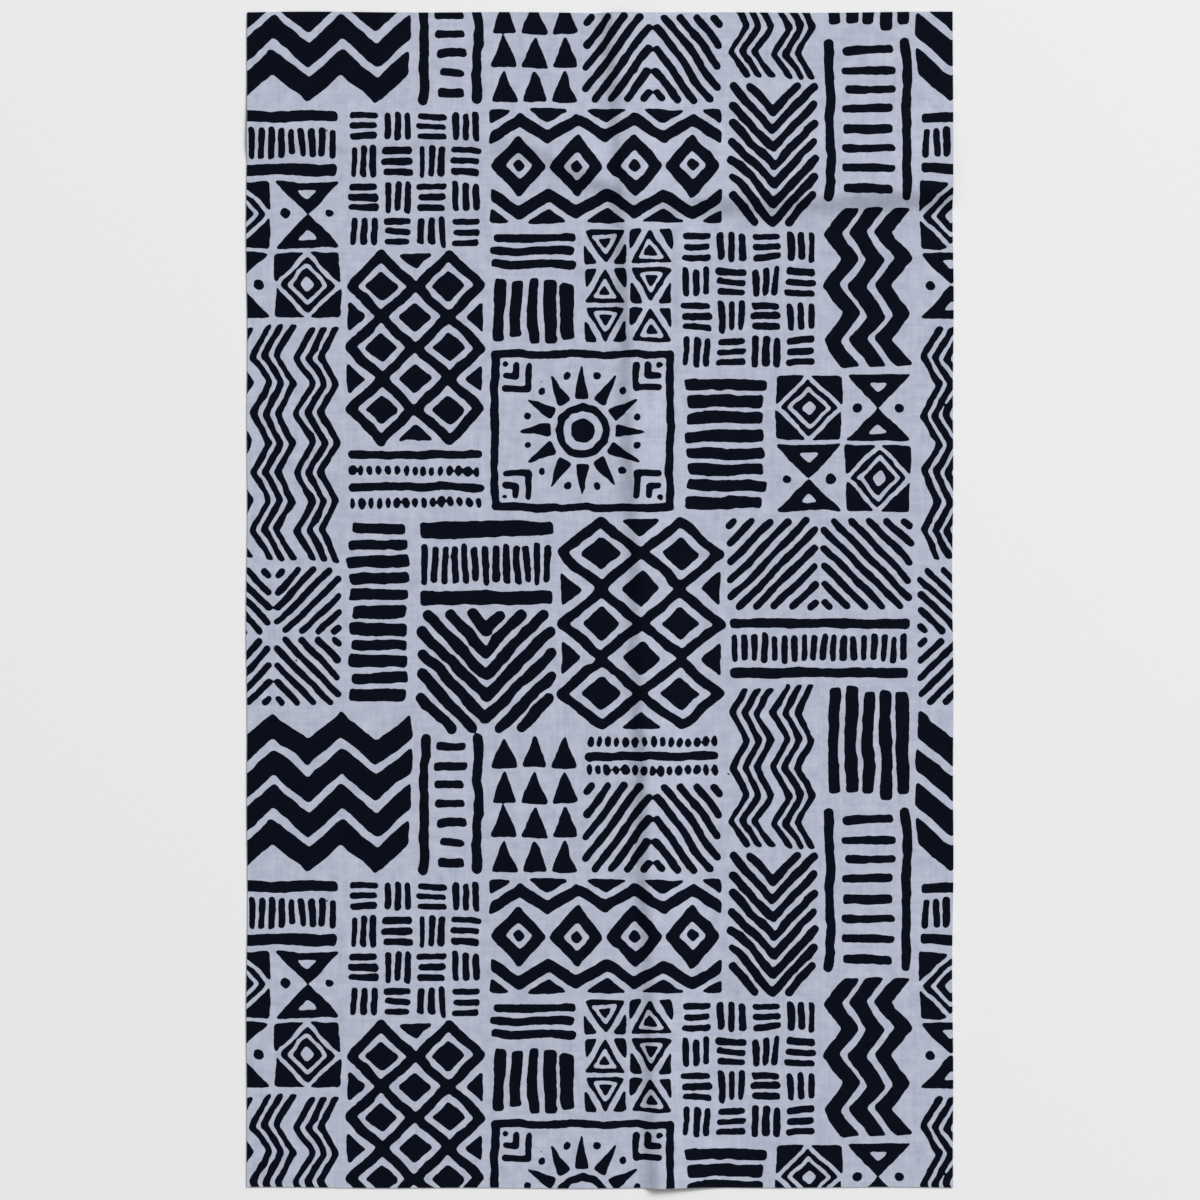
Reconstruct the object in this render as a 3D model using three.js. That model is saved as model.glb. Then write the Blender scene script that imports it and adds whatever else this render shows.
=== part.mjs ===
// A cut length of wax print cotton that lies on a table with the folds of its storing still in it.
// Units are millimetres, +Z is up, +X runs across the cloth and +Y along its length.
// The origin is on the table, under the middle of the cloth.

import * as THREE from "three";

// Driving dimensions of the cut
const WIDTH = 386;
const LENGTH = 642;
const THICKNESS = 1;

// The long fold runs the whole length, a little aslant, with a steep left flank and a broad right one.
// y is the place along the cloth and x the crest there. Height is its rise off the table,
// and left and right are how far its flanks reach.
const LONG_FOLD = [
  { y: -321, x: 32.0, height: 3.4, left: 9.5, right: 38 },
  { y: -200, x: 29.0, height: 3.1, left: 9.0, right: 34 },
  { y: -100, x: 25.5, height: 3.8, left: 9.5, right: 36 },
  { y: 0, x: 21.8, height: 3.0, left: 8.5, right: 32 },
  { y: 100, x: 18.2, height: 3.0, left: 8.5, right: 34 },
  { y: 215, x: 13.8, height: 3.4, left: 9.5, right: 42 },
  { y: 321, x: 7.8, height: 3.2, left: 9.5, right: 46 },
];

// The cross fold has a step where it meets the long fold, and its left half is fainter.
// Its lower flank is steep and its upper flank is broad.
const CROSS_FOLD = [
  { x: -193, y: 250, height: 1.2, below: 12, above: 40 },
  { x: -110, y: 251, height: 1.2, below: 12, above: 38 },
  { x: -45, y: 251, height: 1.7, below: 13, above: 40 },
  { x: -14, y: 238, height: 2.8, below: 13, above: 44 },
  { x: 18, y: 220.5, height: 2.6, below: 12, above: 48 },
  { x: 70, y: 219.5, height: 3.2, below: 12, above: 56 },
  { x: 130, y: 221, height: 4.3, below: 13, above: 62 },
  { x: 193, y: 224, height: 5.3, below: 13, above: 66 },
];

// How full a flank is under its crest: 0 falls away at once, 2 is fully rounded
const CREST_ROUNDING = 1.5;

// Where each flank is cut across, as shares of its reach, and how many plain stretches lie past it
const FLANK_CUTS = [0.2, 0.45, 0.72, 1];
const PLAIN = { left: 6, right: 5, below: 14, above: 2 };

// A smooth value between the rows of a fold's table.
function between(table, place, column) {
  const places = table.map((row) => row[place]);
  const values = table.map((row) => row[column]);
  const curve = new THREE.CubicInterpolant(places, values, 1, new Float64Array(1));
  return (at) => curve.evaluate(at)[0];
}

const longFold = {
  crest: between(LONG_FOLD, "y", "x"),
  height: between(LONG_FOLD, "y", "height"),
  low: between(LONG_FOLD, "y", "left"),
  high: between(LONG_FOLD, "y", "right"),
};

const crossFold = {
  crest: between(CROSS_FOLD, "x", "y"),
  height: between(CROSS_FOLD, "x", "height"),
  low: between(CROSS_FOLD, "x", "below"),
  high: between(CROSS_FOLD, "x", "above"),
};

// How high a fold holds the cloth, at a place along it and a distance across it.
function rise(fold, along, across) {
  const off = across - fold.crest(along);
  const share = off < 0 ? -off / fold.low(along) : off / fold.high(along);
  if (share >= 1) return 0;
  return fold.height(along) * (1 - share) ** 2 * (1 + CREST_ROUNDING * share);
}

// The underside's height over the table: where the folds cross, they make one peak.
function lift(x, y) {
  return Math.hypot(rise(longFold, y, x), rise(crossFold, x, y));
}

// Grid lines across a fold, from one edge of the cloth to the other, close together on its flanks.
function linesAcross(fold, along, edge, plainLow, plainHigh) {
  const { lerp } = THREE.MathUtils;
  const crest = fold.crest(along);
  const lowFoot = crest - fold.low(along);
  const highFoot = crest + fold.high(along);
  const lines = [];
  for (let i = 0; i < plainLow; i++) lines.push(lerp(-edge, lowFoot, i / plainLow));
  for (const cut of [...FLANK_CUTS].reverse()) lines.push(lerp(crest, lowFoot, cut));
  lines.push(crest);
  for (const cut of FLANK_CUTS) lines.push(lerp(crest, highFoot, cut));
  for (let i = 1; i <= plainHigh; i++) lines.push(lerp(highFoot, edge, i / plainHigh));
  return lines;
}

const columnsAt = (y) => linesAcross(longFold, y, WIDTH / 2, PLAIN.left, PLAIN.right);
const rowsAt = (x) => linesAcross(crossFold, x, LENGTH / 2, PLAIN.below, PLAIN.above);

// The sheet as a closed solid: an upper and an under face of the same grid, joined round the rim.
function sheetGeometry() {
  const middleColumns = columnsAt(0);
  const columns = middleColumns.length;
  const rows = rowsAt(0).length;
  const upper = [];
  const under = [];
  for (let j = 0; j < rows; j++) {
    for (let i = 0; i < columns; i++) {
      const y = rowsAt(middleColumns[i])[j];
      const x = columnsAt(y)[i];
      const z = lift(x, y);
      upper.push(x, y, z + THICKNESS);
      under.push(x, y, z);
    }
  }

  const underStart = columns * rows;
  const at = (i, j) => j * columns + i;
  const index = [];
  const addQuad = (a, b, c, d) => index.push(a, b, c, a, c, d);
  for (let j = 0; j + 1 < rows; j++) {
    for (let i = 0; i + 1 < columns; i++) {
      const corners = [at(i, j), at(i + 1, j), at(i + 1, j + 1), at(i, j + 1)];
      addQuad(...corners);
      const [a, b, c, d] = corners.map((corner) => corner + underStart);
      addQuad(b, a, d, c);
    }
  }

  const rim = [];
  for (let i = 0; i + 1 < columns; i++) rim.push(at(i, 0));
  for (let j = 0; j + 1 < rows; j++) rim.push(at(columns - 1, j));
  for (let i = columns - 1; i > 0; i--) rim.push(at(i, rows - 1));
  for (let j = rows - 1; j > 0; j--) rim.push(at(0, j));
  rim.forEach((corner, k) => {
    const next = rim[(k + 1) % rim.length];
    addQuad(corner + underStart, next + underStart, next, corner);
  });

  const geometry = new THREE.BufferGeometry();
  geometry.setAttribute("position", new THREE.Float32BufferAttribute([...upper, ...under], 3));
  geometry.setIndex(index);
  geometry.computeVertexNormals();
  return geometry;
}

// Matt cotton with a pale lilac-grey ground
const cotton = new THREE.MeshStandardMaterial({ color: 0xb2b8c9, roughness: 0.9, metalness: 0 });

const cloth = new THREE.Mesh(sheetGeometry(), cotton);
cloth.name = "printed_cloth";

const part = new THREE.Group();
part.add(cloth);

export default part;
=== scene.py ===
import bpy
import numpy as np
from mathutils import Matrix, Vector
from mathutils.geometry import delaunay_2d_cdt


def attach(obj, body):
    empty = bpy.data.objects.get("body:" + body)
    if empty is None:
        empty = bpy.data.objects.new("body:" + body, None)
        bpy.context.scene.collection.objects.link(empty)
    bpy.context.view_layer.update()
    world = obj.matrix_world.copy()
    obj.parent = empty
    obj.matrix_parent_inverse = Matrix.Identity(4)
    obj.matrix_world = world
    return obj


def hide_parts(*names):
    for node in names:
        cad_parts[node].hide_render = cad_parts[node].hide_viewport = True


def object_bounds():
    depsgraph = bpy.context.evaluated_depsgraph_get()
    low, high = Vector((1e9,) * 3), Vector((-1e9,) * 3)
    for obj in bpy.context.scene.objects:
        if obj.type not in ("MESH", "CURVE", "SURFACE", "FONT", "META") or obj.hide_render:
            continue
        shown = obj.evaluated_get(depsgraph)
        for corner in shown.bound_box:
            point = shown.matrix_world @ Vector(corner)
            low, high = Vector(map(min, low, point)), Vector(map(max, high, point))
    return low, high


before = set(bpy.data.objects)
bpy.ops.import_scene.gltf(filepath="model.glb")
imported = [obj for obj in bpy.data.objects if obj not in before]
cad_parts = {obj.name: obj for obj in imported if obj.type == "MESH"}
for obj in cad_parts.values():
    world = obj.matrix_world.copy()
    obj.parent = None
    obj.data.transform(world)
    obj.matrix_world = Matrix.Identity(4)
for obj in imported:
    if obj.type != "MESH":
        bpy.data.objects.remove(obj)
cad_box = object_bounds()

# The cloth: a length of plain-weave cotton, cut from the bolt with shears on all four sides. Its print is
# dyed through from both faces with a wax resist. It lies on a table, unpressed, so the long fold and the
# cross fold in which it was stored still stand up from it. All lengths are in millimetres until the mesh.
MM = 0.001
(cad_left, cad_near, _), (cad_right, cad_far, _) = cad_box
WIDTH = round((cad_right - cad_left) / MM, 1)
LENGTH = round((cad_far - cad_near) / MM, 1)
CLOTH_THICK = 0.45

# Each fold: the place along it, its crest across it, its height, and the reach of its steep and broad flank
PLACE, CREST, HEIGHT, STEEP, BROAD = range(5)
LONG_FOLD = np.array([
    (-321, 32.0, 3.4, 9.5, 38),
    (-200, 29.0, 3.1, 9.0, 34),
    (-100, 25.5, 3.8, 9.5, 36),
    (0, 21.8, 3.0, 8.5, 32),
    (100, 18.2, 3.0, 8.5, 34),
    (215, 13.8, 3.4, 9.5, 42),
    (321, 7.8, 3.2, 9.5, 46),
])
CROSS_FOLD = np.array([
    (-193, 250, 1.2, 12, 40),
    (-110, 251, 1.2, 12, 38),
    (-45, 251, 1.7, 13, 40),
    (-14, 238, 2.8, 13, 44),
    (18, 220.5, 2.6, 12, 48),
    (70, 219.5, 3.2, 12, 56),
    (130, 221, 4.3, 13, 62),
    (193, 224, 5.3, 13, 66),
])

# A faint crease beside the long fold, where an older fold was pressed out
FAINT_CREASE = np.array([
    (-8, 43.6, 0.0, 4.0, 10),
    (30, 43.9, 0.55, 4.0, 10),
    (75, 43.4, 0.30, 4.0, 11),
    (118, 43.6, 0.55, 4.5, 12),
    (158, 43.9, 0.80, 5.0, 12),
    (204, 43.4, 0.70, 5.0, 12),
    (250, 43.8, 0.20, 4.5, 11),
    (321, 43.0, 0.35, 4.5, 11),
])

# Low swells where the cloth does not lie quite flat: middle x and y, reach along x and along y, height
SWELLS = np.array([
    (88, -196, 62, 24, 0.9),
    (-22, -185, 60, 140, 1.1),
    (118, 92, 62, 84, 0.7),
    (-112, 74, 66, 90, 0.6),
    (-118, -232, 60, 66, 0.7),
    (-95, 292, 84, 26, 0.6),
])

# How full a flank is under its crest, from 0 to 2, and the waves by which crests and heights waver:
# size, length and start of each. A height wavers by a share of itself.
CREST_ROUNDING = 1.5
CREST_WAVES = ((0.5, 19, 0), (0.3, 7.3, 1))
HEIGHT_WAVES = ((0.09, 13, 2), (0.06, 31, 0))


def between_rows(table, column, at):
    """A smooth value between the rows of a fold's table."""
    places, values = table[:, PLACE], table[:, column]
    slopes = np.gradient(values, places)
    i = np.clip(np.searchsorted(places, at) - 1, 0, len(places) - 2)
    gap = places[i + 1] - places[i]
    t = np.clip((at - places[i]) / gap, 0, 1)
    return ((2 * t**3 - 3 * t**2 + 1) * values[i] + (3 * t**2 - 2 * t**3) * values[i + 1]
            + (t**3 - 2 * t**2 + t) * gap * slopes[i] + (t**3 - t**2) * gap * slopes[i + 1])


def wavering(waves, along):
    """The sum of some waves, at a place along a fold."""
    return sum(size * np.sin(along / length + start) for size, length, start in waves)


def fold_rise(table, along, across):
    """How high a fold holds the cloth. Its crest and height waver a little, as in cloth that was stored."""
    crest = between_rows(table, CREST, along) + wavering(CREST_WAVES, along)
    height = between_rows(table, HEIGHT, along) * (1 + wavering(HEIGHT_WAVES, along))
    steep, broad = between_rows(table, STEEP, along), between_rows(table, BROAD, along)
    off = across - crest
    share = np.minimum(np.where(off < 0, -off / steep, off / broad), 1)
    return height * (1 - share)**2 * (1 + CREST_ROUNDING * share)


def main_folds(x, y):
    """How high the long fold and the cross fold hold the cloth. Where they cross, they make one peak."""
    return np.hypot(fold_rise(LONG_FOLD, y, x), fold_rise(CROSS_FOLD, x, y))


def lift(x, y):
    """The underside's height over the table."""
    height = main_folds(x, y) + fold_rise(FAINT_CREASE, y, x)
    for middle_x, middle_y, reach_x, reach_y, rise in SWELLS:
        off = np.hypot((x - middle_x) / reach_x, (y - middle_y) / reach_y)
        height = height + rise * np.clip(1 - off**2, 0, 1)**2
    return height


# The print is drawn on a fine grid that tells, at each of its dots, how deep the dot lies in the ink. One
# repeat is drawn: it is as wide as the cloth, and comes again up the length.
REPEAT = 420.0
DOT = 0.3
SPARE_DOTS = 20
INK_REACH = 1.6
HAND_SEED = 23

dots_wide = round(WIDTH / DOT)
dot_wide = WIDTH / dots_wide
grid_x = (np.arange(-SPARE_DOTS, dots_wide + SPARE_DOTS + 1) - dots_wide / 2) * dot_wide
grid_rows = round(REPEAT / DOT)
ink_depth = np.full((grid_rows, len(grid_x)), -INK_REACH)
hand = np.random.default_rng(HAND_SEED)


def put(points, reach, depth_at, ink):
    """Adds ink near some points, or scrapes it away."""
    low = np.min(points, axis=0) - reach
    high = np.max(points, axis=0) + reach
    columns = np.flatnonzero((grid_x > low[0]) & (grid_x < high[0]))
    rows = np.arange(int(np.floor(low[1] / DOT)), int(high[1] / DOT) + 2)
    depth = depth_at(grid_x[columns][None, :], (rows * DOT)[:, None])
    place = np.ix_(rows % grid_rows, columns)
    if ink:
        ink_depth[place] = np.maximum(ink_depth[place], depth)
    else:
        ink_depth[place] = np.minimum(ink_depth[place], -depth)


def from_edge(x, y, a, b):
    """The distance to an edge, and how far along the edge the nearest point is."""
    run = b - a
    t = np.clip(((x - a[0]) * run[0] + (y - a[1]) * run[1]) / max(run @ run, 1e-9), 0, 1)
    return np.hypot(x - a[0] - t * run[0], y - a[1] - t * run[1]), t


# The hand drifts as it cuts: strokes side by side lean the same way, and no two motifs of a kind come out
# alike. A line has a point every few millimetres, each a little off, and a shape's corners are cut off.
DRIFT = 0.24
DRIFT_WAVES = 9
DRIFT_SEED = 5
LEAST_TURNS, PAST_TURNS = (-12, 5), (13, 15)
HAND_STEP = 4.5
CORNER_CUT = 0.9
MOST_CUT = 0.22

drift = np.random.default_rng(DRIFT_SEED)
drift_turns = drift.integers(LEAST_TURNS, PAST_TURNS, (DRIFT_WAVES, 2)) / (WIDTH, REPEAT)
drift_starts, drift_ways = drift.uniform(0, 2 * np.pi, (2, DRIFT_WAVES))


def drifted(points):
    """Points, moved to where the drifting hand puts them."""
    swings = np.sin(2 * np.pi * points @ drift_turns.T + drift_starts)
    return points + DRIFT * swings @ np.column_stack([np.cos(drift_ways), np.sin(drift_ways)])


def without_corners(points):
    """The same outline with its corners cut off."""
    runs = np.roll(points, -1, axis=0) - points
    cut = np.minimum(CORNER_CUT / np.hypot(*runs.T), MOST_CUT)[:, None]
    return np.stack([points + runs * cut, points + runs * (1 - cut)], axis=1).reshape(-1, 2)


def by_hand(points, closed, waver):
    """The same line, cut by hand."""
    points = np.array(points, float)
    if closed:
        points = without_corners(points)
    ends = np.roll(points, -1, axis=0) if closed else points[1:]
    path = []
    for a, b in zip(points, ends):
        steps = max(1, round(np.hypot(*(b - a)) / HAND_STEP))
        path += [a + (b - a) * k / steps for k in range(steps)]
    if not closed:
        path.append(points[-1])
    return drifted(np.array(path)) + hand.normal(0, waver, (len(path), 2))


def line(points, width, ink=True, waver=0.26, uneven=0.08):
    """A stroke with round ends: waver is how far it strays, and uneven how much its width varies."""
    path = by_hand(points, False, waver)
    swell = np.clip(hand.normal(0, uneven, len(path)), -2 * uneven, 2 * uneven)
    halves = width / 2 * (1 + swell)
    for a, b, half_a, half_b in zip(path, path[1:], halves, halves[1:]):
        def depth_at(x, y):
            near, t = from_edge(x, y, a, b)
            return half_a + (half_b - half_a) * t - near
        put([a, b], max(half_a, half_b) + INK_REACH, depth_at, ink)


def area(points, ink=True, waver=0.24):
    """A filled shape."""
    outline = by_hand(points, True, waver)

    def depth_at(x, y):
        near = np.full((len(y), x.shape[1]), np.inf)
        inside = np.zeros(near.shape, bool)
        for a, b in zip(outline, np.roll(outline, -1, axis=0)):
            near = np.minimum(near, from_edge(x, y, a, b)[0])
            if a[1] != b[1]:
                edge_x = (b[0] - a[0]) * (y - a[1]) / (b[1] - a[1]) + a[0]
                inside ^= ((a[1] > y) != (b[1] > y)) & (x < edge_x)
        return np.where(inside, near, -near)
    put(outline, INK_REACH, depth_at, ink)


def bar(a, b, thick, waver=0.24, slant=0.5, blunt=(0.84, 1.08)):
    """A short broad stroke: slant is how far its ends may lean, and blunt how thick its corners may be."""
    a, b = np.array(a), np.array(b)
    along = (b - a) / np.hypot(*(b - a))
    side = np.array([-along[1], along[0]]) * thick / 2
    lean = along * hand.uniform(-slant, slant)
    ends = hand.uniform(*blunt, 4)
    area([a - side * ends[0] - lean, b - side * ends[1], b + side * ends[2] + lean, a + side * ends[3]],
         waver=waver)


def pointed_line(points, shift):
    """A stroke whose turns stay pointed, because its two sides are the same line, shifted."""
    points, shift = np.array(points), np.array(shift)
    area([*(points - shift / 2), *(points + shift / 2)[::-1]])


def dot(middle, wide, tall=None, waver=0.15):
    """A dot, round or tall, of six corners that the resist will round."""
    wide = wide * hand.uniform(0.85, 1.15) / 2
    tall = wide if tall is None else tall * hand.uniform(0.88, 1.12) / 2
    turns = np.arange(6) * np.pi / 3 + hand.uniform(0, 1)
    area([(middle[0] + wide * np.cos(a), middle[1] + tall * np.sin(a)) for a in turns], waver=waver)


# A patch of the print is a box, x0, y0, x1 and y1. The next three give a motif its own directions in a
# patch, and share a patch out.
def directions(patch, upright):
    """A place from shares along and across a patch, and the patch's length and breadth that way."""
    x0, y0, x1, y1 = patch
    if upright:
        return (lambda s, t: (x0 + t * (x1 - x0), y0 + s * (y1 - y0))), y1 - y0, x1 - x0
    return (lambda s, t: (x0 + s * (x1 - x0), y0 + t * (y1 - y0))), x1 - x0, y1 - y0


def part_of(patch, s0, t0, s1, t1, upright=False):
    """A smaller box in a patch, from shares along and across it."""
    at = directions(patch, upright)[0]
    return (*at(s0, t0), *at(s1, t1))


def cells(patch, across, up, gap):
    """The boxes of a patch that is shared out in columns and rows, each with its column and row."""
    x0, y0, x1, y1 = patch
    wide, tall = (x1 - x0 + gap) / across, (y1 - y0 + gap) / up
    for j in range(up):
        for i in range(across):
            x, y = x0 + i * wide, y0 + j * tall
            yield i, j, (x, y, x + wide - gap, y + tall - gap)


# The motifs. Their numbers are sizes in millimetres or shares of a patch or a cell.
def bars(patch, count, upright=False, full=0.68, stagger=3.2, slope=0.045, waver=0.026):
    """Bars side by side: full is the share of the patch that they fill, and stagger how uneven they end."""
    at, length, breadth = directions(patch, upright)
    pitch = breadth / count
    for k in range(count):
        middle = (k + 0.5) / count
        lean = hand.uniform(-slope, slope) / count
        trim = hand.uniform(0, stagger, 2) / length
        thick = pitch * full * hand.uniform(0.9, 1.1)
        bar(at(trim[0], middle - lean), at(1 - trim[1], middle + lean), thick, waver=waver * pitch)


def basket_weave(patch, across, up, strokes=3, gap=2.0):
    """Small groups of bars that lie and stand by turns."""
    for i, j, cell in cells(patch, across, up, gap):
        bars(cell, strokes, upright=(i + j) % 2 == 0, full=0.595, stagger=1.4)


def zigzags(patch, groups, strokes, waves, thick, gap, swing, upright=True, stray=0.6, uneven=0.4):
    """Groups of strokes that turn to and fro together: swing is how far they turn aside."""
    at, length, breadth = directions(patch, upright)
    spread = strokes * (thick + gap) - gap
    inset = swing + spread / 2
    turns = np.arange(2 * waves + 1)
    for g in range(groups):
        middle = inset + (breadth - 2 * inset) * g / max(1, groups - 1)
        along = turns / (2 * waves) + hand.normal(0, stray, len(turns)) / length
        swings = swing * (-1.0)**turns + hand.normal(0, uneven, len(turns))
        for q in range(strokes):
            t = middle + q * (thick + gap) + (thick - spread) / 2
            path = [at(a, (t + turn) / breadth) for a, turn in zip(along, swings)]
            pointed_line(path, np.subtract(at(0, thick / breadth), at(0, 0)))


def lozenge(patch, size):
    """The corners of a lozenge in the middle of a patch. At size 1 it reaches the patch's sides."""
    x0, y0, x1, y1 = patch
    x, y = (x0 + x1) / 2, (y0 + y1) / 2
    wide, tall = (x1 - x0) / 2 * size, (y1 - y0) / 2 * size
    return [(x - wide, y), (x, y - tall), (x + wide, y), (x, y + tall)]


def lozenge_net(patch, across, up, upright=True, thick=4.9, solid=0.5):
    """A net of lozenges with a solid lozenge in each mesh, cut to triangles along the sides."""
    at = directions(patch, upright)[0]
    for c in range(across):
        for r in range(up):
            mesh = part_of(patch, r / up, c / across, (r + 1) / up, (c + 1) / across, upright)
            area(lozenge(mesh, solid))
            for side in (0.03, 0.97):
                line([at(r / up, (c + 0.5) / across), at((r + 0.5) / up, (c + side) / across),
                      at((r + 1) / up, (c + 0.5) / across)], thick)
    for c in range(across + 1):
        for r in range(up + 1):
            if c in (0, across) and r in (0, up):
                continue
            left, right = np.clip(np.array([c - solid / 2, c + solid / 2]) / across, 0, 1)
            low, high = np.clip(np.array([r - solid / 2, r + solid / 2]) / up, 0, 1)
            area([at(r / up, left), at(low, c / across), at(r / up, right), at(high, c / across)])


def sun_frame(patch, thick=3.9, rays=12):
    """A ringed sun in a frame, with dots between its rays, and nested angles and a dot in each corner."""
    core, ring, ray_foot, dots_out, ray_tip = 6.6, 13.2, 18.4, 31, 36
    ring_thick, ray_dot, half_ray = 3.7, 4.0, 0.21
    corner_in, corner_dot = 5.6, 3.4
    angle_start, angle_sizes, angle_thick = 6, (11.6, 18.4), 3.2
    x0, y0, x1, y1 = np.array(patch) + np.array([1, 1, -1, -1]) * thick / 2
    middle = np.array([(x0 + x1) / 2, (y0 + y1) / 2])

    def around(radius, turn):
        return middle + radius * np.array([np.cos(turn), np.sin(turn)])

    turns = np.arange(rays + 1) * 2 * np.pi / rays
    area([around(core, turn) for turn in turns[:-1]])
    line([around(ring, turn) for turn in turns], ring_thick)
    for turn in turns[:-1]:
        foot = [around(ray_foot, turn - half_ray), around(ray_foot, turn + half_ray)]
        area([*foot, around(ray_tip, turn)])
        dot(around(dots_out, turn + np.pi / rays), ray_dot)
    corners = np.array([(x0, y0), (x1, y0), (x1, y1), (x0, y1)])
    line([*corners, corners[0]], thick)
    for corner in corners:
        inward = np.sign(middle - corner)
        dot(corner + inward * corner_in, corner_dot)
        for size in angle_sizes:
            angle = [(size, angle_start), (size, size), (angle_start, size)]
            line([corner + inward * off for off in angle], angle_thick, waver=0.16)


def nested_lozenge(patch):
    """A dark square with two rings and a middle scraped out of it."""
    x0, y0, x1, y1 = patch
    area([(x0, y0), (x1, y0), (x1, y1), (x0, y1)])
    for size, thick in ((0.98, 2.7), (0.6, 2.5)):
        ring = lozenge(patch, size)
        line([*ring, ring[0]], thick, ink=False)
    area(lozenge(patch, 0.27), ink=False)


def hourglass(patch):
    """Two triangles, point to point, each with a ground triangle inside, and a dot at either side."""
    x0, y0, x1, y1 = patch
    middle = np.array([(x0 + x1) / 2, (y0 + y1) / 2])
    for base in (y0, y1):
        corners = np.array([(x0, base), (x1, base), middle])
        heart = corners.mean(axis=0)
        area(corners)
        area(heart + (corners - heart) * 0.34, ink=False)
    for side in (x0, x1):
        dot((middle[0] + (side - middle[0]) * 0.68, middle[1]), 5.4)


def lozenge_checks(patch, across, up, gap=2.8):
    """Nested lozenges and hourglasses by turns."""
    for i, j, cell in cells(patch, across, up, gap):
        (nested_lozenge if (i + j) % 2 else hourglass)(cell)


def slanted_squares(patch, across, up, strokes=4, gap=2.8, trim=1.6, full=0.52):
    """Squares filled with slanted strokes, which turn about from square to square."""
    for i, j, (x0, y0, x1, y1) in cells(patch, across, up, gap):
        corners = np.array([(x0, y0), (x1, y0), (x1, y1), (x0, y1)])
        a, b, c, d = np.roll(corners, (i + j) % 2, axis=0)
        pitch = np.hypot(x1 - x0, y1 - y0) / 2 / strokes
        for corner in (b, d):
            for k in range(strokes):
                share = (k + 0.5) / strokes
                start, end = a + (corner - a) * share, c + (corner - c) * share
                short = (end - start) / np.hypot(*(end - start)) * trim
                line([start + short, end - short], pitch * full, waver=0.08)


def comb(patch, teeth, upright=False, rail=0.2):
    """Two long bars with a row of close teeth between them."""
    for t in (0, 1 - rail):
        bars(part_of(patch, 0, t, 1, t + rail, upright), 1, upright, full=0.8, stagger=2)
    bars(part_of(patch, 0.01, 0.25, 0.99, 0.75, upright), teeth, not upright, full=0.59, stagger=2.2)


def dotted_rows(patch, rows, pitch=4.8, tall=6.3, thick=4.2):
    """Rows of tall dots, by turns with long strokes."""
    at, length, _ = directions(patch, False)
    count = round(length / pitch)
    for k in range(rows):
        t = (k + 0.5) / rows
        if k % 2:
            trim = hand.uniform(0, 0.04, 2)
            line([at(trim[0], t), at(1 - trim[1], t)], thick)
        else:
            for i in range(count):
                wide = hand.choice([3.1, 3.6, 4.1, 5.2], p=[0.4, 0.35, 0.15, 0.1])
                dot(at((i + 0.5) / count, t), wide, tall)


def ladder(patch, rungs, upright=True, rail=4.8, rung=4.4):
    """Two long strokes, with short bars between them that reach neither."""
    at, _, breadth = directions(patch, upright)
    for t in (rail / 2 / breadth, 1 - rail / 2 / breadth):
        line([at(0.01, t), at(0.98, t)], rail)
    for k in range(rungs):
        s = (k + 0.5) / rungs
        trim = hand.uniform(8.2, 10.4, 2) / breadth
        bar(at(s, trim[0]), at(s + hand.normal(0, 0.005), 1 - trim[1]), rung)


def chevrons(patch, pitch, rise, thick, upright=True, shortest=5):
    """Nested angles, each cut off where it leaves the patch."""
    at, length, _ = directions(patch, upright)
    for point in np.arange(4 - rise, length - shortest, pitch):
        low, high = max(0, point), min(length, point + rise)
        if high - low < shortest:
            continue
        for side in (-1, 1):
            line([at(s / length, 0.5 + side * 0.47 * (s - point) / rise) for s in (low, high)], thick)


def stacked_triangles(patch, across, up, gap=2.0):
    """Columns of solid triangles that stand on one another."""
    for _, _, (x0, y0, x1, y1) in cells(patch, across, up, gap):
        area([(x0, y0), (x1, y0), ((x0 + x1) / 2, y1 + gap / 2)])


def lozenge_band(patch, count):
    """A row of nested lozenges between two zigzags and two rows of small triangles."""
    at, _, breadth = directions(patch, False)
    steps = [k / (2 * count) for k in range(2 * count + 1)]
    for side in (-1, 1):
        outside, point = 0.5 + side * 0.5, 0.5 + side * 0.37
        for k in range(count + 1):
            start, end = np.clip([(k - 0.36) / count, (k + 0.36) / count], 0, 1)
            area([at(start, outside), at(end, outside), at(k / count, point)])
        zigzag = [at(s, 0.5 + side * (0.42 if k % 2 else 0.25)) for k, s in enumerate(steps)]
        pointed_line(zigzag, (0, breadth * 0.11))
    for k in range(count):
        cell = part_of(patch, k / count, 0.2, (k + 1) / count, 0.8)
        for size, ink in ((0.96, True), (0.48, False), (0.22, True)):
            area(lozenge(cell, size), ink=ink)


def pennants(patch, across, up, gap=2.6):
    """Triangles that point up and down by turns, each with a ground line inside it."""
    for i, j, (x0, y0, x1, y1) in cells(patch, across, up, gap):
        x = (x0 + x1) / 2
        base, tip = (y0, y1) if (i + j) % 2 else (y1, y0)
        area([(x0, base), (x1, base), (x, tip)])
        for edge, inward in ((x0, 1), (x1, -1)):
            area([(edge, tip), (edge + inward * (x1 - x0) * 0.31, tip), (edge, base + (tip - base) * 0.38)])
        heart = np.array([x, base + (tip - base) * 0.36])
        inner = [heart + (np.array(p) - heart) * 0.5 for p in ((x0, base), (x1, base), (x, tip))]
        line([*inner, inner[0]], 2.3, ink=False)


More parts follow.
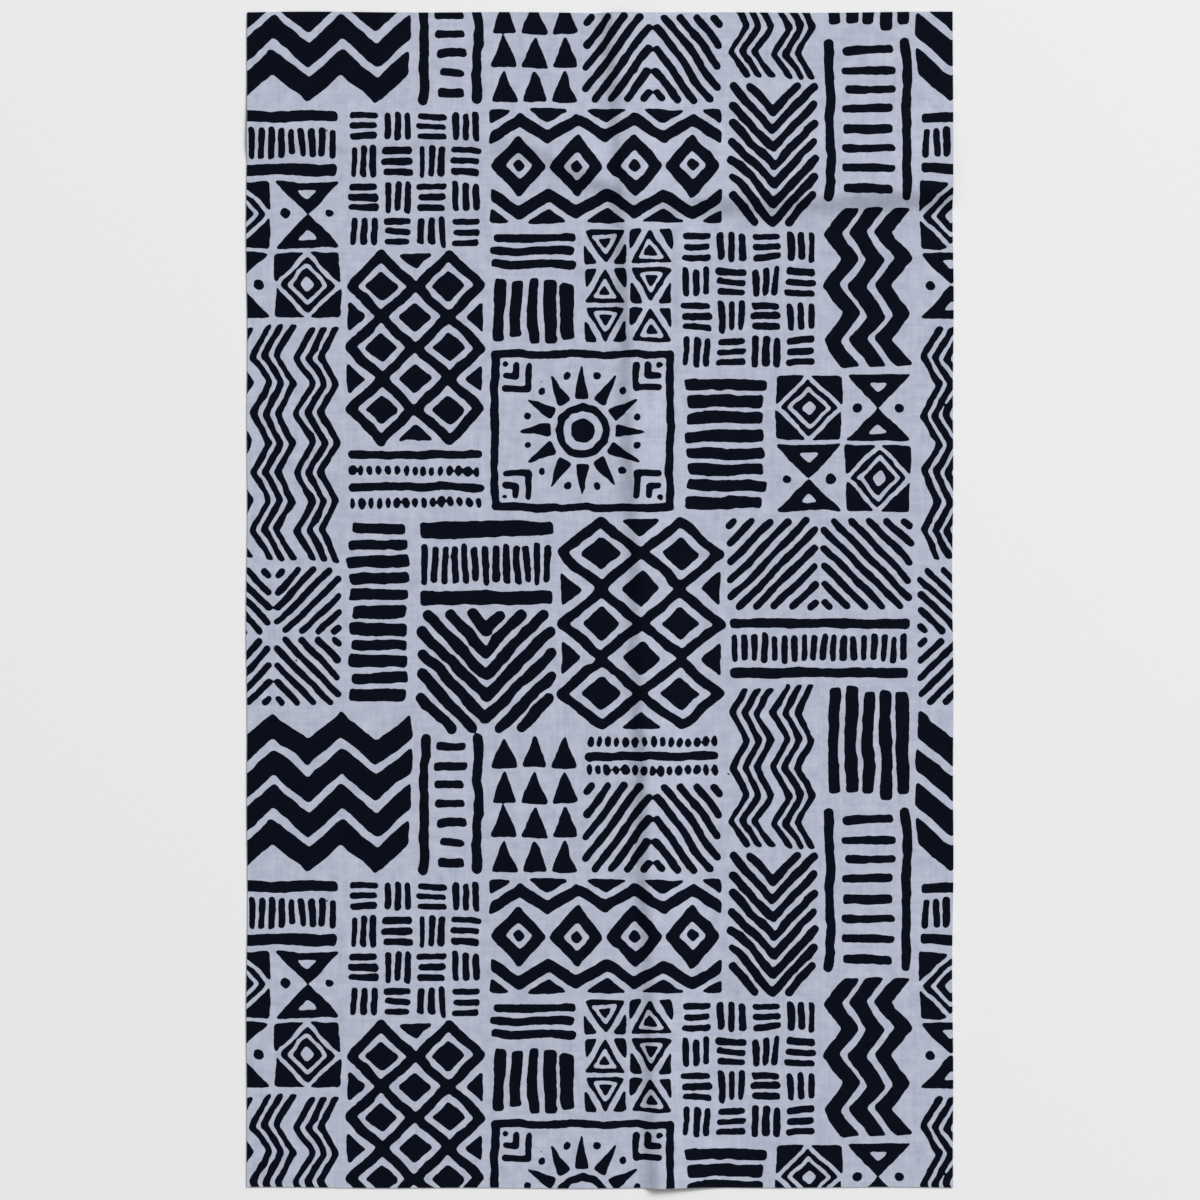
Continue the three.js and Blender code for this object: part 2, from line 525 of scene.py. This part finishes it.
# The patches of one repeat, on a rough grid: column and row of the lower left corner, columns and rows, and
# motif. The print was cut where it fell, so its first column hangs over the left edge and comes again at the
# right one.
PATCH_COLUMN = 13.0
PATCH_COLUMNS = 30
PATCH_ROW = REPEAT / 32
PATCH_LEFT = -218.0
PATCH_INSET = (1.6, 3.0)
PATCHES = [
    (0, -1, 6, 10, zigzags, {"groups": 3, "strokes": 3, "waves": 4, "thick": 3.6, "gap": 3.0, "swing": 4.4}),
    (0, 9, 6, 6, lozenge_checks, {"across": 2, "up": 2}),
    (0, 15, 6, 3, comb, {"teeth": 13}),
    (0, 18, 9, 7, zigzags, {"groups": 4, "strokes": 1, "waves": 3, "thick": 13.4, "gap": 0, "swing": 8.0,
                            "upright": False}),
    (0, 25, 6, 6, slanted_squares, {"across": 2, "up": 2}),
    (6, 1, 6, 3, dotted_rows, {"rows": 4}),
    (6, 4, 6, 8, lozenge_net, {"across": 2, "up": 3}),
    (6, 12, 6, 6, basket_weave, {"across": 4, "up": 4}),
    (9, 18, 3, 6, ladder, {"rungs": 7}),
    (6, 25, 3, 8, bars, {"count": 11}),
    (9, 24, 6, 5, chevrons, {"pitch": 12.2, "rise": 36, "thick": 5.6}),
    (9, 29, 6, 4, comb, {"teeth": 13}),
    (12, 1, 8, 7, sun_frame, {}),
    (12, 8, 4, 3, bars, {"count": 5, "upright": True}),
    (12, 11, 4, 2, bars, {"count": 3, "full": 0.6}),
    (16, 8, 4, 5, pennants, {"across": 2, "up": 3}),
    (12, 13, 10, 5, lozenge_band, {"count": 4}),
    (12, 18, 4, 6, stacked_triangles, {"across": 3, "up": 4}),
    (16, 18, 6, 4, slanted_squares, {"across": 2, "up": 1}),
    (16, 22, 6, 2, dotted_rows, {"rows": 3}),
    (15, 24, 7, 9, lozenge_net, {"across": 3, "up": 2, "upright": False}),
    (20, 1, 4, 6, bars, {"count": 8}),
    (24, 1, 6, 6, lozenge_checks, {"across": 2, "up": 2}),
    (20, 7, 6, 6, basket_weave, {"across": 4, "up": 4}),
    (26, 7, 4, 7, zigzags, {"groups": 3, "strokes": 1, "waves": 3, "thick": 9.4, "gap": 0, "swing": 5.5}),
    (22, 13, 4, 6, chevrons, {"pitch": 10.0, "rise": 24, "thick": 4.1}),
    (26, 14, 4, 7, ladder, {"rungs": 8}),
    (22, 19, 4, 7, zigzags, {"groups": 2, "strokes": 3, "waves": 3, "thick": 3.5, "gap": 3.0, "swing": 4.2}),
    (26, 21, 4, 5, bars, {"count": 5, "upright": True}),
    (22, 26, 8, 3, comb, {"teeth": 18}),
    (22, 29, 8, 4, slanted_squares, {"across": 2, "up": 1, "strokes": 5}),
]


def fill(column, row, columns, rows, motif, settings):
    """Draws a motif in its patch, a little inside the patch's box."""
    inset = hand.uniform(*PATCH_INSET, 4)
    left, low = PATCH_LEFT + column * PATCH_COLUMN, row * PATCH_ROW
    right, high = left + columns * PATCH_COLUMN, low + rows * PATCH_ROW
    motif((left + inset[0], low + inset[1], right - inset[2], high - inset[3]), **settings)


for patch in PATCHES:
    fill(*patch)
for column, *patch in PATCHES:
    if column == 0:
        fill(PATCH_COLUMNS, *patch)

# The resist rounds every corner, leaves the edges a little rough, and lets the ink spread.
ROUNDING = 0.62
ROUGHNESS = 0.075
FINE_GRAIN, COARSE_GRAIN = 0.8, 2.0
INK_SPREAD = 0.24

frequency_y = np.fft.fftfreq(grid_rows, DOT)[:, None]
frequency_x = np.fft.rfftfreq(len(grid_x), dot_wide)[None, :]
frequency = frequency_x**2 + frequency_y**2


def blurred(spectrum, radius):
    """A field on the grid, from its spectrum, blurred over a radius."""
    return np.fft.irfft2(spectrum * np.exp(-2 * (np.pi * radius)**2 * frequency), ink_depth.shape)


grain = np.fft.rfft2(hand.normal(size=ink_depth.shape))
rough = blurred(grain, FINE_GRAIN) - blurred(grain, COARSE_GRAIN)
ink_depth = np.clip(ink_depth, -INK_REACH, INK_REACH)
ink_depth = blurred(np.fft.rfft2(ink_depth), ROUNDING) + ROUGHNESS * rough / rough.std() + INK_SPREAD

# A few specks of ink lie in the ground, where the resist had a pinhole.
SPECKS = 12
SPECK_REACH = 190
SPECK_SIZES = (0.9, 1.5)

for spot in hand.uniform((-SPECK_REACH, 0), (SPECK_REACH, REPEAT), (SPECKS, 2)):
    dot(spot, hand.uniform(*SPECK_SIZES))

# The edges of the ink, found on the grid for the whole cloth: a point wherever a grid line crosses an edge,
# joined cell by cell, then thinned to the points that the line needs.
PRINT_START = 66.0
EDGE_TOLERANCE = 0.05

cloth_rows = round(LENGTH / DOT)
repeat_rows = (np.arange(cloth_rows + 1) + round(PRINT_START / DOT)) % grid_rows
printed = ink_depth[repeat_rows, SPARE_DOTS:-SPARE_DOTS]
inked = printed > 0
cloth_x = grid_x[SPARE_DOTS:-SPARE_DOTS]
cloth_y = (np.arange(cloth_rows + 1) - cloth_rows / 2) * DOT


def share_to_edge(here, there):
    """How far along a grid line the ink ends, from the depths at the line's two ends."""
    return here / (here - there)


flat_row, flat_column = np.nonzero(inked[:, :-1] != inked[:, 1:])
steep_row, steep_column = np.nonzero(inked[:-1] != inked[1:])
flat_share = share_to_edge(printed[flat_row, flat_column], printed[flat_row, flat_column + 1])
steep_share = share_to_edge(printed[steep_row, steep_column], printed[steep_row + 1, steep_column])
crossings = np.column_stack([
    np.concatenate([cloth_x[flat_column] + flat_share * dot_wide, cloth_x[steep_column]]),
    np.concatenate([cloth_y[flat_row], cloth_y[steep_row] + steep_share * DOT]),
])
flat_number = np.full((cloth_rows + 1, dots_wide), -1)
flat_number[flat_row, flat_column] = np.arange(len(flat_row))
steep_number = np.full((cloth_rows, dots_wide + 1), -1)
steep_number[steep_row, steep_column] = len(flat_row) + np.arange(len(steep_row))
around_cell = np.stack([flat_number[:-1], steep_number[:, 1:], flat_number[1:], steep_number[:, :-1]],
                       axis=-1)
met = np.sum(around_cell >= 0, axis=-1)
plain_cells = around_cell[met == 2]
saddle_cells = around_cell[met == 4]
plain_joins = plain_cells[plain_cells >= 0].reshape(-1, 2)
neighbours = [[] for _ in crossings]
for a, b in np.concatenate([plain_joins, saddle_cells[:, :2], saddle_cells[:, 2:]]).tolist():
    neighbours[a].append(b)
    neighbours[b].append(a)


def needed_points(path):
    """Keeps the points of a line that stray from the chords of the rest."""
    keep = np.zeros(len(path), bool)
    keep[[0, -1]] = True
    spans = [(0, len(path) - 1)]
    while spans:
        first, last = spans.pop()
        if last - first < 2:
            continue
        run = path[last] - path[first]
        off = path[first + 1:last] - path[first]
        size = np.hypot(*run)
        stray = np.abs(off[:, 0] * run[1] - off[:, 1] * run[0]) / size if size > 1e-6 else np.hypot(*off.T)
        worst = int(stray.argmax())
        if stray[worst] > EDGE_TOLERANCE:
            middle = first + 1 + worst
            keep[middle] = True
            spans += [(first, middle), (middle, last)]
    return path[keep]


points = []
edges = []
seen = np.zeros(len(crossings), bool)
loose_ends = [k for k, near in enumerate(neighbours) if len(near) == 1]
for start in loose_ends + list(range(len(crossings))):
    if seen[start]:
        continue
    path = [start]
    seen[start] = True
    step = start
    while step is not None:
        step = next((k for k in neighbours[step] if not seen[k]), None)
        if step is not None:
            path.append(step)
            seen[step] = True
    closed = len(path) > 2 and start in neighbours[path[-1]]
    path = needed_points(crossings[path + [start] * closed])
    if closed:
        path = path[:-1]
    if len(path) > 2 or not closed and len(path) > 1:
        numbers = (len(points) + np.arange(len(path))).tolist()
        edges += list(zip(numbers[:-1], numbers[1:]))
        edges += [(numbers[-1], numbers[0])] * closed
        points += path.tolist()

# The cut edges, and points between the motifs so that the sheet can bend. These lie closer together where
# the folds stand higher: each spacing has its least height of the folds.
RIM_STEP = 2.5
LEAST_CLEAR = 0.7
BENDS = ((8.0, -1.0), (4.0, 0.05), (2.6, 0.9))
CREASE_START = -6.0
CREASE_STEP = 4.0
CREASE_LINES = (-4.4, -2.9, -1.4, 0, 2.6, 6, 10)
LEAST_GAP = 1e-5

cloth_corners = np.array([(-1, -1), (1, -1), (1, 1), (-1, 1)]) * (WIDTH / 2, LENGTH / 2)
rim = []
for a, b in zip(cloth_corners, np.roll(cloth_corners, -1, axis=0)):
    rim += np.linspace(a, b, round(np.hypot(*(b - a)) / RIM_STEP), endpoint=False).tolist()
rim_numbers = (len(points) + np.arange(len(rim))).tolist()
edges += list(zip(rim_numbers, rim_numbers[1:] + rim_numbers[:1]))
points += rim


def on_grid(x, y):
    """The row and the column of the grid at a place on the cloth."""
    return np.round((y + LENGTH / 2) / DOT).astype(int), np.round((x + WIDTH / 2) / dot_wide).astype(int)


def clear_of_edges(x, y):
    """Whether a place is well away from the edges of the ink."""
    return np.abs(printed[on_grid(x, y)]) > LEAST_CLEAR


for spacing, least_lift in BENDS:
    bend_x, bend_y = np.meshgrid(np.arange(spacing, WIDTH, spacing) - WIDTH / 2,
                                 np.arange(spacing, LENGTH, spacing) - LENGTH / 2)
    bend_x, bend_y = bend_x.ravel(), bend_y.ravel()
    wanted = clear_of_edges(bend_x, bend_y) & (main_folds(bend_x, bend_y) > least_lift)
    points += np.column_stack([bend_x, bend_y])[wanted].tolist()

crease_y, beside = np.meshgrid(np.arange(CREASE_START, LENGTH / 2, CREASE_STEP), CREASE_LINES)
crease_x = between_rows(FAINT_CREASE, CREST, crease_y) + beside
crease_points = np.column_stack([crease_x.ravel(), crease_y.ravel()])
points += crease_points[clear_of_edges(*crease_points.T)].tolist()

flat_points, _, faces, _, _, _ = delaunay_2d_cdt([Vector(p) for p in points], edges, [], 0, LEAST_GAP)
flat_points = np.array([tuple(p) for p in flat_points])
faces = np.array(faces)
face_middles = flat_points[faces].mean(axis=1)
face_ink = inked[on_grid(*face_middles.T)]

# Shears leave the cut edges a touch uneven, and the sheet takes its height from the folds.
CUT_WAVER = 0.45
EDGE_ONLY = 9


def shorn(across, half, along, wave, slow_wave):
    """Places across the cloth, drawn in unevenly close to the cut edges."""
    share = across / half
    uneven = 1 + np.sin(along / wave + share) * np.cos(along / slow_wave)
    return across - share**EDGE_ONLY * CUT_WAVER * uneven


flat_x, flat_y = flat_points.T
cut_x = shorn(flat_x, WIDTH / 2, flat_y, 23, 61)
cut_y = shorn(flat_y, LENGTH / 2, flat_x, 27, 53)
heights = lift(cut_x, cut_y) + CLOTH_THICK

cloth_mesh = bpy.data.meshes.new("printed_cotton")
cloth_mesh.from_pydata((np.column_stack([cut_x, cut_y, heights]) * MM).tolist(), [], faces.tolist())
cloth_mesh.polygons.foreach_set("material_index", face_ink.astype(np.int32))
cloth_mesh.polygons.foreach_set("use_smooth", np.ones(len(faces), bool))
cloth = bpy.data.objects.new("printed_cotton", cloth_mesh)
bpy.context.collection.objects.link(cloth)

# Both faces share one map of the flat cloth, because the dye goes through.
flat_map = cloth_mesh.uv_layers.new(name="OFBake")
corners_of_faces = np.empty(len(cloth_mesh.loops), np.int32)
cloth_mesh.loops.foreach_get("vertex_index", corners_of_faces)
flat_map.data.foreach_set("uv", ((flat_points / (WIDTH, LENGTH)) + 0.5)[corners_of_faces].ravel())

# The sheet gets its thickness, and its cut edges stay sharp.
SMOOTH_ANGLE = 40

bpy.ops.object.select_all(action="DESELECT")
cloth.select_set(True)
bpy.context.view_layer.objects.active = cloth
thickness = cloth.modifiers.new("cloth thickness", "SOLIDIFY")
thickness.thickness = CLOTH_THICK * MM
thickness.offset = -1
bpy.ops.object.modifier_apply(modifier=thickness.name)
bpy.ops.object.shade_smooth_by_angle(angle=np.radians(SMOOTH_ANGLE))

# Plain weave: warp and weft cross over and under by turns. Thicker yarns make faint streaks along and across,
# and the cloth takes the dye unevenly, in a soft mottle. Lengths here are in metres.
YARN_PITCH = 0.00036
ROUND_YARN = 0.6
STREAK_YARNS = 6
STREAK_ROUGHNESS = 0.7
MOTTLE_SCALE = 130
MOTTLE_ROUGHNESS = 0.65
NOISE_DETAIL = 4
STREAK_PART, MOTTLE_PART = 0.55, 0.45

weave = bpy.data.node_groups.new("plain_weave", "ShaderNodeTree")
weave.interface.new_socket("Streak Length", in_out="INPUT", socket_type="NodeSocketFloat")
weave.interface.new_socket("Height", in_out="OUTPUT", socket_type="NodeSocketFloat")
weave.interface.new_socket("Streaks", in_out="OUTPUT", socket_type="NodeSocketFloat")
weave.interface.new_socket("Shade", in_out="OUTPUT", socket_type="NodeSocketFloat")
group_in = weave.nodes.new("NodeGroupInput")
group_out = weave.nodes.new("NodeGroupOutput")
coordinates = weave.nodes.new("ShaderNodeTexCoord")
split = weave.nodes.new("ShaderNodeSeparateXYZ")
weave.links.new(coordinates.outputs["Object"], split.inputs[0])


def calculated(operation, *values):
    """A sum in the weave's group, from numbers and the outputs of other nodes."""
    node = weave.nodes.new("ShaderNodeMath")
    node.operation = operation
    for socket, value in zip(node.inputs, values):
        if isinstance(value, (int, float)):
            socket.default_value = value
        else:
            weave.links.new(value, socket)
    return node.outputs[0]


def noise(vector, scale, roughness):
    """Noise in the weave's group."""
    node = weave.nodes.new("ShaderNodeTexNoise")
    node.inputs["Scale"].default_value = scale
    node.inputs["Detail"].default_value = NOISE_DETAIL
    node.inputs["Roughness"].default_value = roughness
    weave.links.new(vector, node.inputs["Vector"])
    return node.outputs["Fac"]


yarn_waves = []
for axis in ("X", "Y"):
    yarn_turns = calculated("MULTIPLY", split.outputs[axis], np.pi / YARN_PITCH)
    yarn_waves.append(calculated("SINE", yarn_turns))
warp_and_weft = []
for own, crossing, swing in ((*yarn_waves, 0.5), (*yarn_waves[::-1], -0.5)):
    crown = calculated("POWER", calculated("ABSOLUTE", own), ROUND_YARN)
    over_or_under = calculated("MULTIPLY", calculated("SIGN", own), crossing)
    rise = calculated("MULTIPLY_ADD", over_or_under, swing, 0.5)
    warp_and_weft.append(calculated("MULTIPLY", crown, rise))
weave.links.new(calculated("MAXIMUM", *warp_and_weft), group_out.inputs["Height"])

yarn_streaks = []
for across, along in (("X", "Y"), ("Y", "X")):
    stretched = weave.nodes.new("ShaderNodeCombineXYZ")
    fine = calculated("MULTIPLY", split.outputs[across], 1 / (STREAK_YARNS * YARN_PITCH))
    long = calculated("DIVIDE", split.outputs[along], group_in.outputs["Streak Length"])
    weave.links.new(fine, stretched.inputs["X"])
    weave.links.new(long, stretched.inputs["Y"])
    yarn_streaks.append(noise(stretched.outputs[0], 1, STREAK_ROUGHNESS))
streaks = calculated("MULTIPLY", calculated("ADD", *yarn_streaks), 0.5)
weave.links.new(streaks, group_out.inputs["Streaks"])

mottle = noise(coordinates.outputs["Object"], MOTTLE_SCALE, MOTTLE_ROUGHNESS)
shade = calculated("MULTIPLY_ADD", mottle, MOTTLE_PART, calculated("MULTIPLY", streaks, STREAK_PART))
weave.links.new(shade, group_out.inputs["Shade"])

# The two colours of the print: each has a darker and a lighter tone, which the uneven yarns take by turns.
DARK_AT, LIGHT_AT = 0.39, 0.61
GLOSS_RANGE = 0.06
WEAVE_STRENGTH = 0.35
WEAVE_DEPTH = 0.00009


def dyed_cotton(name, dark, light, streak_length, roughness, specular):
    """Cotton in one of the two colours of the print: yarns in uneven shades, a soft mottle, and the weave."""
    material = bpy.data.materials.new(name)
    material.use_nodes = True
    nodes, links = material.node_tree.nodes, material.node_tree.links
    shader = nodes["Principled BSDF"]
    shader.inputs["Specular IOR Level"].default_value = specular
    yarns = nodes.new("ShaderNodeGroup")
    yarns.node_tree = weave
    yarns.inputs["Streak Length"].default_value = streak_length
    tones = nodes.new("ShaderNodeValToRGB")
    tones.color_ramp.elements[0].position = DARK_AT
    tones.color_ramp.elements[0].color = (*dark, 1)
    tones.color_ramp.elements[1].position = LIGHT_AT
    tones.color_ramp.elements[1].color = (*light, 1)
    links.new(yarns.outputs["Shade"], tones.inputs["Fac"])
    links.new(tones.outputs["Color"], shader.inputs["Base Color"])
    gloss = nodes.new("ShaderNodeMapRange")
    gloss.inputs["To Min"].default_value = roughness - GLOSS_RANGE
    gloss.inputs["To Max"].default_value = roughness + GLOSS_RANGE
    links.new(yarns.outputs["Streaks"], gloss.inputs["Value"])
    links.new(gloss.outputs["Result"], shader.inputs["Roughness"])
    bump = nodes.new("ShaderNodeBump")
    bump.inputs["Strength"].default_value = WEAVE_STRENGTH
    bump.inputs["Distance"].default_value = WEAVE_DEPTH
    links.new(yarns.outputs["Height"], bump.inputs["Height"])
    links.new(bump.outputs["Normal"], shader.inputs["Normal"])
    return material


cloth.data.materials.append(dyed_cotton(
    "cotton_ground", dark=(0.380, 0.415, 0.520), light=(0.505, 0.540, 0.645),
    streak_length=0.024, roughness=0.88, specular=0.12))
cloth.data.materials.append(dyed_cotton(
    "cotton_ink", dark=(0.0012, 0.0024, 0.0072), light=(0.0026, 0.0040, 0.0105),
    streak_length=0.018, roughness=0.82, specular=0.05))

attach(cloth, "root")
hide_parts("printed_cloth")

# The table: a plain pale board, painted matt. It lies just under the cloth and runs out of view on every
# side, so that it makes the whole background.
TABLE_SIZE = 40.0
TABLE_DROP = 0.0003

bpy.ops.object.select_all(action="DESELECT")
bpy.ops.mesh.primitive_plane_add(size=TABLE_SIZE, location=(0, 0, -TABLE_DROP))
table = bpy.context.active_object
table.name = "table"
paint = bpy.data.materials.new("pale_paint")
paint.use_nodes = True
paint_shader = paint.node_tree.nodes["Principled BSDF"]
paint_shader.inputs["Base Color"].default_value = (0.82, 0.82, 0.82, 1)
paint_shader.inputs["Roughness"].default_value = 0.9
paint_shader.inputs["Specular IOR Level"].default_value = 0.1
table.data.materials.append(paint)

# The light: a broad soft lamp from the upper right, which models the folds, in an evenly lit room.
# The lamp faces the middle of the cloth.
ROOM_STRENGTH = 0.36
LAMP_SIZE = 6.8
LAMP_POWER = 2760
LAMP_PLACE = (8.6, 9.2, 9.9)

room = bpy.data.worlds.new("room")
room.use_nodes = True
room.node_tree.nodes["Background"].inputs["Color"].default_value = (1, 1, 1, 1)
room.node_tree.nodes["Background"].inputs["Strength"].default_value = ROOM_STRENGTH
bpy.context.scene.world = room

lamp_data = bpy.data.lights.new("soft_lamp", "AREA")
lamp_data.shape = "SQUARE"
lamp_data.size = LAMP_SIZE
lamp_data.energy = LAMP_POWER
lamp = bpy.data.objects.new("soft_lamp", lamp_data)
lamp.location = LAMP_PLACE
lamp.rotation_euler = Vector(LAMP_PLACE).to_track_quat("Z", "Y").to_euler()
bpy.context.collection.objects.link(lamp)

# The camera: straight above the middle of the cloth. Its lens is as long as makes the view this wide on
# the table.
VIEW_WIDTH = 0.6548
CAMERA_HEIGHT = 1.5
SENSOR_WIDTH = 36

camera_data = bpy.data.cameras.new("camera")
camera_data.sensor_width = SENSOR_WIDTH
camera_data.lens = SENSOR_WIDTH * CAMERA_HEIGHT / VIEW_WIDTH
camera = bpy.data.objects.new("camera", camera_data)
camera.location = (0, 0, CAMERA_HEIGHT)
bpy.context.collection.objects.link(camera)
bpy.context.scene.camera = camera
bpy.context.scene.view_settings.view_transform = "Standard"
